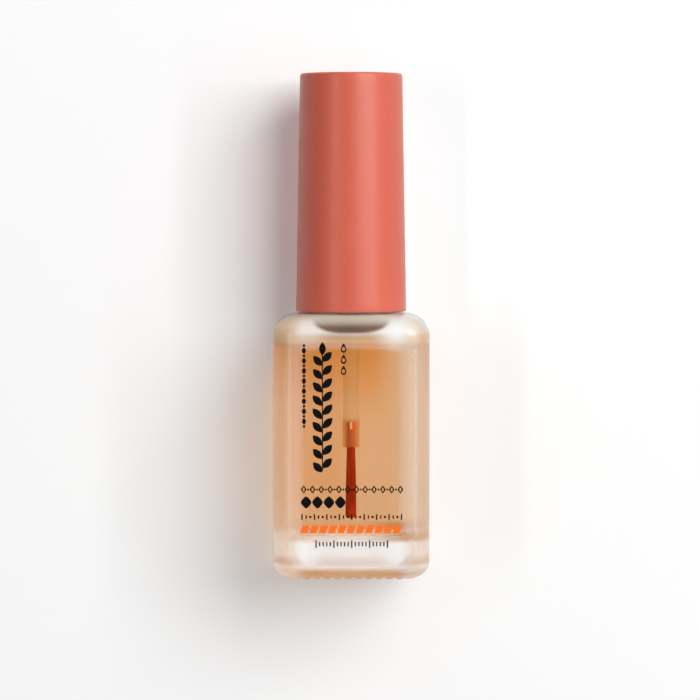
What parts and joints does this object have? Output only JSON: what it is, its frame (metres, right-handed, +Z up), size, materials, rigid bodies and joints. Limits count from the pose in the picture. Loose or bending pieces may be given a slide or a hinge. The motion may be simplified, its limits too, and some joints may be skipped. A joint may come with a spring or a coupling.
{
  "type": "cuticle oil bottle",
  "caption": "Square thick-walled glass bottle of amber cuticle oil with a tall tapered screw overcap and a brush on its stem.",
  "frame": {"origin": "centre of the base, on the surface that the bottle stands on", "axes": "+Z up the bottle and cap axis; -Y out of the printed front face; +X to the right seen from the front"},
  "size_m": [0.027, 0.027, 0.0871],
  "materials": {
    "clear_glass": "gloss",
    "amber_oil": "gloss",
    "coral_plastic": "satin",
    "inner_cap_plastic": "satin",
    "gasket_foam": "matte",
    "stem_plastic": "satin",
    "rust_bristle": "satin",
    "staple_metal": "satin"
  },
  "bodies": {
    "bottle": {"glass_bottle": "clear_glass", "oil_fill": "amber_oil"},
    "seal": {"seal_gasket": "gasket_foam"},
    "brush": {"brush_stem": "stem_plastic", "bristle_tuft": "rust_bristle", "tuft_staple": "staple_metal"},
    "cap": {"inner_cap": "inner_cap_plastic", "overcap": "coral_plastic"}
  },
  "joints": [
    {"name": "cap_lift", "type": "slide", "parent": "bottle", "child": "seal", "axis": [0, 0, 1], "range_m": [0, 0.05]},
    {"name": "thread_rise", "type": "slide", "parent": "seal", "child": "brush", "axis": [0, 0, 1], "range_m": [0, 0.00424]},
    {"name": "cap_twist", "type": "hinge", "parent": "brush", "child": "cap", "pos_m": [0, 0, 0.0564], "axis": [0, 0, 1], "range_deg": [0, 720]}
  ],
  "couplings": [
    {"joint": "thread_rise", "follows": "cap_twist", "m_per_rad": 0.00033693}
  ]
}
